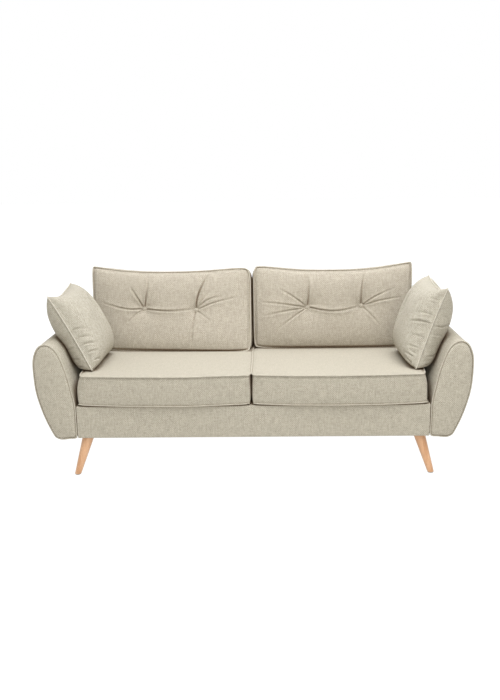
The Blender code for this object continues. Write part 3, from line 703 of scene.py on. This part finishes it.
def make_leg(row, side, materials):
    """A tapered round leg, sheared so that both ends are level, with eased edges."""
    node = f"leg_{row}_{side}"
    ring = np.array([v.co for v in frame["nodes"][node].data.vertices])
    low, high = ring[:, 2].min(), ring[:, 2].max()
    foot = ring[ring[:, 2] < low + 1e-4]
    top = ring[ring[:, 2] > high - 1e-4]
    foot_at = (foot.min(0) + foot.max(0)) / 2
    top_at = (top.min(0) + top.max(0)) / 2
    radii = np.ptp(foot[:, 0]) / 2, np.ptp(top[:, 0]) / 2
    tall = high - low
    heights = np.concatenate([[0, 0.0006, LEG_EASE], np.linspace(LEG_EASE, tall - LEG_EASE, 14)[1:],
                              [tall - 0.0006, tall]])
    turn = np.arange(40) * 2 * np.pi / 40
    rows = []
    for h in heights:
        share = h / tall
        near = min(h, tall - h)
        shrink = LEG_EASE * (1 - math.sqrt(max(0, 1 - (1 - min(near / LEG_EASE, 1)) ** 2)))
        radius = radii[0] + (radii[1] - radii[0]) * share - shrink
        centre = foot_at + (top_at - foot_at) * share
        rows.append(centre + radius * np.stack([np.cos(turn), np.sin(turn), 0 * turn], 1))
    points, faces = ring_mesh(rows)
    made = piece(f"turned_leg_{row}_{side}", points, faces, materials["leg_wood"])
    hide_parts(node)


# ---- loose cushions ----
def add_piping(name, lattice, points, end, material, body, out=0.0028, rise=0.0):
    """The cord in the seam round one end of a boxed cushion, out from it and up by rise."""
    path = points[lattice.rim(end)].copy()
    path[:, 2] += rise
    away = path - path.mean(0)
    away /= np.linalg.norm(away, axis=1, keepdims=True)
    path += away * out
    for _ in range(2):
        path = 0.5 * path + 0.25 * (np.roll(path, 1, 0) + np.roll(path, -1, 0))
    tube(name, path, PIPING, material, body)


def seam_dip(one, other):
    """From 0 to 1: the narrow dip that the cloth makes beside the cord of a seam."""
    nearest = np.minimum(np.abs(one), np.abs(other))
    return np.exp(-((nearest - SEAM_DEPTH * 1.4) / (SEAM_DEPTH * 0.9)) ** 2)


def seat_cushion_points(side, sign, lattice, half):
    """A boxed foam cushion about its middle: flat below, crowned on top, its front sunk."""
    shape = SEAT_CUSHIONS[side]
    u, v, w = lattice.shares.T
    at_arm = u * sign > 0
    corner = np.abs(u * v) ** 12 * (1 + 0.5 * w)
    wider = np.where(at_arm, shape["at_arm"], shape["at_middle"])
    x = (half[0] + wider) * u * (1 - SEAT_CORNERS[0] * corner)
    seam_in = np.where(w > 0, shape["top_seam"], shape["bottom_seam"]) * w ** 2
    x -= at_arm * sign * np.abs(u) ** 8 * seam_in
    x += ~at_arm * sign * np.abs(u) ** 16 * 0.008 * np.clip(-w, 0, 1) ** 5
    y = half[1] * v * (1 - SEAT_CORNERS[1] * corner)
    z = half[2] * w
    z -= BACK_SINK * np.clip((v - 0.36) / 0.14, 0, 1) * (w > 0.5)
    in_front = np.clip((0.52 - v) / 1.52, 0, 1)
    crown = (1 - np.abs(u) ** 3.2) ** 0.8
    crown *= np.clip(1 - np.abs(2 * in_front - 1.25) ** 2.4, 0, 1) ** 0.8
    z += np.clip(w, 0, 1) * crown * (SEAT_CROWN + 0.0022 * uneven(x, y, 21 + sign))
    middle = 1 - u ** 2
    ahead = np.clip((1 - v) / 2, 0, 1) ** 16
    y -= SEAT_BOW * middle * ahead
    z -= SEAT_SINK * middle * ahead
    y += SEAT_LEAN * (1 - w) / 2 * ahead
    belly = 1 - w ** 2
    y -= 0.006 * belly * on_face(-v) * (1 - u ** 8)
    x += np.where(at_arm, 0.008, 0.002) * np.sign(u) * belly * on_face(np.abs(u))
    dip = seam_dip((1 - v) * half[1], (1 - np.abs(u)) * half[0])
    z -= np.sign(w) * SEAM_DEPTH * dip * on_face(np.abs(w))
    dip = seam_dip((1 - np.abs(w)) * half[2], half[0]) * np.where(w > 0, 1, 0.3)
    y += SEAM_DEPTH * dip * on_face(-v)
    z += 0.0011 * uneven(x * 2.2, y * 0.5, 5 + sign) * ahead
    z += on_face(-w) * (SEAT_SINK * middle * ahead + (0.004 - 0.006 * middle) * ahead ** 4)
    return np.stack([x, y, z], 1)


def make_seat_cushion(side, sign, materials):
    """A seat cushion with the cords of its top and bottom seams."""
    low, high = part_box(f"seat_cushion_cover_{side}")
    body = f"seat_cushion_{side}"
    lattice = Lattice(96, 84, 18)
    points = seat_cushion_points(side, sign, lattice, np.array(high - low) / 2)
    points += np.array(low + high) / 2
    made = piece(f"boxed_seat_cushion_{side}", points, lattice.quads(), materials["cushion"], body)
    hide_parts(f"seat_cushion_cover_{side}", f"seat_cushion_foam_{side}")
    for name, end, out, rise in (("top", -1, 0.0022, 0.0), ("bottom", 0, 0.0030, 0.004)):
        add_piping(f"seat_piping_{name}_{side}", lattice, points, end, materials["piping"], body,
                   out, rise)


def crease_field(across, up, path, depth, narrow=CREASE_WIDTH):
    """How far a crease along path pushes the cloth in, with soft swellings beside it."""
    path = smooth_path([(0.0, 0.0), *path], 6)
    lengths = np.linalg.norm(np.diff(path, axis=0), axis=1)
    reached = np.concatenate([[0], np.cumsum(lengths)]) / lengths.sum()
    nearest = np.full(across.shape, 1e9)
    share = np.zeros(across.shape)
    spot = np.stack([across, up], -1)
    for start, end, s0, s1 in zip(path, path[1:], reached, reached[1:]):
        along = end - start
        t = np.clip(((spot - start) @ along) / (along @ along), 0, 1)
        gap = np.linalg.norm(spot - start - t[..., None] * along, axis=-1)
        closer = gap < nearest
        nearest = np.where(closer, gap, nearest)
        share = np.where(closer, s0 + (s1 - s0) * t, share)
    fade = np.clip(1 - share ** 1.8, 0, 1) ** 0.9
    width = narrow * (0.75 + 0.5 * share)
    valley = np.exp(-(nearest / width) ** 2)
    shoulder = np.exp(-(nearest / (3.0 * width)) ** 2)
    return depth * fade * (valley - 0.45 * shoulder)


def back_cushion_blank(side, sign, half_x, depth):
    """A back cushion before its buttons pull: a fine lattice, its points as across, up, back."""
    shape = BACK_CUSHIONS[side]
    lattice = Lattice(60, 30, 10)
    u, v, w = lattice.shares.T
    inward = u * sign < 0
    outer = 0.5 + 0.5 * sign * u
    share = 0.5 + 0.5 * v
    facing = np.clip(w, 0, 1)
    rise = shape["rise_inner"] + (shape["rise_outer"] - shape["rise_inner"]) * outer
    side_pull = np.where(inward, 0.0, 0.006) * (1 - v ** 2)
    boxing = np.where(inward, *BOXING)
    x = half_x * u - np.sign(u) * np.abs(u) ** 6 * (side_pull + boxing)
    h = share * (BACK_TALL + 0.003 + rise * np.abs(u) ** 2.4) - BACK_SINK
    h += (1 - share) * (0.004 * np.abs(u) ** 4 + shape["tilt"] * (2 * outer - 1))
    corner = np.abs(u * v) ** 8 * np.where(v < 0, 0.2 + 0.3 * facing, 1)
    x *= 1 - np.where(inward, shape["rounding"], OUTER_ROUNDING) * corner
    h -= np.where(inward, *CORNER_DRAW) * corner * np.sign(v)
    t = BACK_SEAM_IN + (depth - BACK_SEAM_IN - 0.012) * (1 - w) / 2
    t -= (shape["forward"] + shape["turned"] * (1 - outer)) * (1 - share) ** 2 * facing
    dome = ((1 - u ** 4) * (1 - v ** 4)) ** 0.62
    t -= dome * BACK_PUFF * on_face(w)
    t += dome * REAR_PUFF * on_face(-w)
    h -= TOP_FALL * (1 - w) / 2 * np.clip(v, 0, 1) ** 3
    belly = 1 - w ** 2
    h += TOP_BELLY * belly * on_face(v) * (1 - u ** 8)
    swell = (boxing + np.where(inward, *SIDE_BELLY)) * (1 - np.clip(v, 0, 1) ** 6)
    x += swell * np.sign(u) * belly * on_face(np.abs(u))
    return lattice.refined(np.stack([x, h, t], 1), 4)


def pull_of_buttons(side, sign, x, z):
    """How far the two buttons and their creases press the front in."""
    push = np.zeros(len(x))
    for name in ("inner", "outer"):
        spot, height = BUTTON_SPOTS[side, name]
        across, up = x - sign * spot, z - height
        away = np.hypot(across, up)
        push += DIMPLE * np.exp(-(np.maximum(away, DIMPLE_FLAT) / DIMPLE_REACH) ** 0.85)
        off_button = 1 - np.exp(-(away / 0.012) ** 2)
        for path, depth in CREASES[side, name]:
            push += CREASE_GAIN * crease_field(across, up, path, depth) * off_button
    return push


def make_back_cushion(side, sign, materials):
    """A boxed cushion with two buttons, the dimples that they pull and the creases between."""
    low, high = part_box(f"back_cushion_cover_{side}")
    body = f"back_cushion_{side}"
    inner_x = min(abs(low.x), abs(high.x)) + BACK_CUSHIONS[side]["gap"]
    outer_x = max(abs(low.x), abs(high.x)) + BACK_CUSHIONS[side]["beyond"]
    half_x = (outer_x - inner_x) / 2
    middle_x = sign * (outer_x + inner_x) / 2
    depth = (high.y - low.y) - BACK_SLOPE * (high.z - low.z)
    lattice, local = back_cushion_blank(side, sign, half_x, depth)
    x, h, t = local.T.copy()
    u, v, w = lattice.shares.T
    front = on_face(w)
    edge = np.clip(1 - np.maximum(np.abs(u), np.abs(v)) ** 10, 0, 1)
    push = pull_of_buttons(side, sign, x + middle_x, h + low.z)
    push += 0.0016 * uneven(x, h, 31 + sign, 8, 8.0, 30.0)
    dip = seam_dip((1 - np.abs(u)) * half_x, (1 - np.abs(v)) * BACK_TALL / 2)
    t += np.where(front, push * edge + SEAM_DEPTH * 1.3 * dip, 0)
    points = np.stack([x + middle_x, low.y + BACK_SLOPE * h + t, low.z + h], 1)
    made = piece(f"buttoned_back_cushion_{side}", points, lattice.quads(), materials["back"], body)
    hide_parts(f"back_cushion_cover_{side}", f"back_cushion_fill_{side}")
    for name, end in (("front", -1), ("rear", 0)):
        add_piping(f"back_piping_{name}_{side}", lattice, points, end, materials["piping"], body)
    for name in ("inner", "outer"):
        spot, height = BUTTON_SPOTS[side, name]
        gap = np.hypot(points[:, 0] - sign * spot, points[:, 2] - height)
        dimple_bottom = points[np.where(front, gap, np.inf).argmin()]
        make_button(f"covered_button_{side}_{name}", dimple_bottom, materials["back"], body,
                    f"button_{side}_{name}")


def make_button(name, spot, material, body, node):
    """A cloth-covered button, domed, sitting in its dimple."""
    tilt = math.atan(BACK_SLOPE)
    out = np.array([0.0, -math.cos(tilt), math.sin(tilt)])
    across = np.array([1.0, 0.0, 0.0])
    up = np.cross(across, out)
    turn = np.arange(28) * 2 * np.pi / 28
    circle = np.outer(np.cos(turn), across) + np.outer(np.sin(turn), up)
    rows = [spot + out * (0.0035 + 0.0065 * math.cos(a))
            + BUTTON_RADIUS * math.sin(a) * circle
            for a in np.radians(np.linspace(2, 90, 9))]
    rows.append(rows[-1] - out * 0.004)
    points, faces = ring_mesh(rows)
    made = piece(name, points, faces, material, body)
    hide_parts(node)


def seam_wrinkles(inward, along, seed):
    """Short creases that run in from a seam, as how far each presses the cloth in."""
    draw = np.random.default_rng(seed)
    total = np.zeros_like(inward)
    for spot in np.linspace(-0.14, 0.14, 10):
        spot += draw.uniform(-0.016, 0.016)
        slant = draw.uniform(-0.6, 0.6)
        width = draw.uniform(0.0036, 0.0060)
        strong = draw.uniform(0, 1) ** 2
        length = 0.010 + 0.012 * strong
        depth = 0.0010 + 0.0024 * strong
        line = np.exp(-((along - spot - slant * inward) / width) ** 2)
        total += depth * line * np.exp(-(inward / length) ** 2) * (1 - np.exp(-inward / 0.002))
    return total


def clear_of_arm(x, z, side):
    """Spots pressed out of the arm, straight away from its inner side or its top."""
    inner_face = min(abs(corner.x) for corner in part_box(f"arm_upholstery_{side}"))
    outline = smooth_loop(ARM_OUTLINE, 8) + np.array([inner_face, 0.0])
    crest = outline[:, 1].argmax()
    wall = outline[:crest + 1]
    limit = np.interp(z, wall[:, 1], wall[:, 0]) - ARM_PUFF - PRESS_GAP
    over = outline[crest:crest + 24]
    height = np.interp(x, over[:, 0], over[:, 1]) + ARM_PUFF + PRESS_GAP
    top = wall[-1, 1]
    x = np.where(z < top, np.minimum(x, limit), x)
    beyond = (x > wall[-1, 0]) & (x < over[-1, 0])
    return x, np.where(beyond & (z < height), height, z)


def pillow_press(side, sign, u, v, a, b, inner):
    """How far a pillow's seams, its creases and the chop in its middle press its sheets in."""
    half = PILLOW_HEIGHT / 2
    press = np.zeros(len(a))
    for k, (across, along) in enumerate(((u, b), (-u, b), (v, a), (-v, a))):
        inward = (1 - across) * half
        for face in (0, 1):
            wrinkles = seam_wrinkles(inward, along, 70 + 10 * k + face + 3 * (sign > 0))
            press += np.where(inner == (face == 1), wrinkles, 0)
    from_seam = a + PILLOW_WIDTH / 2 - PILLOW_WAIST
    for face, up, length, slant, depth in PILLOW_CREASES[side]:
        path = ((length / 2, slant * length / 2), (length, slant * length))
        field = crease_field(from_seam, b - up * half, path,
                             PILLOW_CREASE_GAIN * depth, PILLOW_CREASE_WIDTH)
        press += np.where(inner == (face == "inner"), field, 0)
    dent_u, dent_v = PILLOWS[side]["dent"]
    dent = np.exp(-((u - dent_u) / 0.12) ** 2) * np.exp(-((v - dent_v) / 0.30) ** 2)
    return press + PILLOW_DENT * dent * inner


def pillow_sheets(side, sign, lattice):
    """Two square sheets sewn edge to edge and filled, as points across, up and out of them."""
    shape = PILLOWS[side]
    u, v, w = lattice.shares.T
    u, v = (0.55 * p + 0.45 * softened(p) for p in (u, v))
    half = PILLOW_HEIGHT / 2
    crushed = np.abs(u) ** 6 * np.clip(-v, 0, 1) ** 5
    a = u * (PILLOW_WIDTH / 2 - PILLOW_WAIST * (1 - v ** 2)) * (1 - 0.02 * crushed)
    drawn = (1 - u ** 2) * np.where(v < 0, 0.5, 1.25 - 0.55 * u)
    b = v * (half - PILLOW_WAIST * drawn) * (1 - 0.05 * crushed)
    inner = w > 0
    low_v = v + np.where(inner, 0.02, 0.10) * (1 - v ** 2)
    upright = np.abs(low_v) ** np.where((low_v < 0) & ~inner, 5.0, 2.8)
    full = ((1 - np.abs(u) ** 3.0) * (1 - upright)) ** 0.44
    free = shape["outer"] + 0.010 * np.clip(0.25 + 1.1 * v, 0, 1)
    t = np.where(inner, shape["inner"], -free) * full
    t += 0.003 * full * uneven(a, b, 61 + sign)
    press = pillow_press(side, sign, u, v, a, b, inner) * np.minimum(1, full * 3)
    t -= np.sign(t) * np.minimum(press, np.abs(t) * 0.9)
    a -= np.sign(u) * press * np.abs(u) ** 4
    t[np.abs(w) < 0.5] = 0
    return a, b, t


def make_pillow(side, sign, materials):
    """A pillow with pointed corners, leant on the arm, and the cord round its seam."""
    body = f"throw_pillow_{side}"
    shape = PILLOWS[side]
    lattice = Lattice(132, 132, 2)
    a, b, t = pillow_sheets(side, sign, lattice)
    lean = math.radians(shape["lean"])
    rise = b + PILLOW_HEIGHT / 2
    seat_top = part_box(f"seat_cushion_cover_{side}")[1].z
    x = shape["foot"] + rise * math.sin(lean) - t * math.cos(lean)
    z = seat_top + shape["lift"] + rise * math.cos(lean) + t * math.sin(lean)
    rest = seat_top + 0.001
    flattened = rest + PILLOW_FLAT * np.exp((z - rest - PILLOW_FLAT) / PILLOW_FLAT)
    x, z = clear_of_arm(x, np.where(z < rest + PILLOW_FLAT, flattened, z), side)
    points = np.stack([sign * x, PILLOW_Y[side] + a, z], 1)
    made = piece(f"sewn_pillow_{side}", points, lattice.quads(), materials["pillow"], body)
    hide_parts(f"throw_pillow_{side}")
    path = points[lattice.rim(1)]
    path += (path - path.mean(0)) * 0.011
    cord = tube(f"pillow_piping_{side}", path, PILLOW_PIPING, materials["pillow_piping"], body,
                sides=6)


# ---- frame nodes that stay ----
def dress_frame(materials):
    """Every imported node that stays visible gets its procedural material."""
    slots = {row["node"]: row["material_slot"] for row in frame["record"]["subparts"]}
    for name, node in frame["nodes"].items():
        chosen = "dust" if name == "dust_cover" else slots[name]
        node.data.materials.clear()
        node.data.materials.append(materials[chosen])


# ---- stage ----
def make_stage():
    """A white floor that glows a little, white surroundings and three soft lights."""
    floor_mesh = bpy.data.meshes.new("floor")
    ends = ((-1, -1), (1, -1), (1, 1), (-1, 1))
    floor_mesh.from_pydata([(FLOOR_REACH * x, FLOOR_REACH * y, -FLOOR_DROP) for x, y in ends],
                           [], [(0, 1, 2, 3)])
    floor = bpy.data.objects.new("floor", floor_mesh)
    bpy.context.scene.collection.objects.link(floor)
    s = Shader("white_floor", 0.9)
    s.colour((0.12, 0.12, 0.12, 1.0))
    s.surface.inputs["Emission Color"].default_value = (1, 1, 1, 1)
    s.surface.inputs["Emission Strength"].default_value = 1.0
    floor_mesh.materials.append(s.material)
    world = bpy.data.worlds.new("studio")
    world.use_nodes = True
    tree = world.node_tree
    background = tree.nodes["Background"]
    background.inputs[0].default_value = (1.0, 1.0, 1.0, 1.0)
    seen = tree.nodes.new("ShaderNodeLightPath").outputs["Is Camera Ray"]
    strength = tree.nodes.new("ShaderNodeMix")
    strength.inputs[2].default_value = AMBIENT
    strength.inputs[3].default_value = 1.0
    tree.links.new(seen, strength.inputs[0])
    tree.links.new(strength.outputs[0], background.inputs[1])
    bpy.context.scene.world = world
    for light in LIGHTS:
        add_light(*light)


def add_light(name, place, aim, size, power, colour):
    """A square soft light that shines on the spot that it aims at."""
    lamp = bpy.data.lights.new(name, "AREA")
    lamp.color = colour
    lamp.size = size
    lamp.energy = power
    made = bpy.data.objects.new(name, lamp)
    made.location = place
    made.rotation_euler = (Vector(aim) - Vector(place)).to_track_quat("-Z", "Y").to_euler()
    bpy.context.scene.collection.objects.link(made)


def make_camera():
    """A 40 mm lens a little above the sofa, looking slightly down and to the left."""
    lens = bpy.data.cameras.new("camera")
    lens.lens = 40.0
    lens.sensor_width = 36.0
    made = bpy.data.objects.new("camera", lens)
    made.location = CAMERA_PLACE
    turns = ((CAMERA_LEFT, "Z"), (90 - CAMERA_DOWN, "X"), (CAMERA_ROLL, "Z"))
    yaw, pitch, roll = (Matrix.Rotation(math.radians(angle), 4, axis) for angle, axis in turns)
    made.rotation_euler = (yaw @ pitch @ roll).to_euler()
    bpy.context.scene.collection.objects.link(made)
    bpy.context.scene.camera = made
    bpy.context.scene.view_settings.view_transform = "Standard"


def main():
    """Build everything."""
    make_camera()
    make_stage()
    materials = make_materials()
    dress_frame(materials)
    make_rail_cover(materials)
    make_back(materials)
    for row in ("front", "rear"):
        for side, _ in SIDES:
            make_leg(row, side, materials)
    for side, sign in SIDES:
        make_arm(side, sign, materials)
        make_seat_cushion(side, sign, materials)
        make_back_cushion(side, sign, materials)
        make_pillow(side, sign, materials)


main()
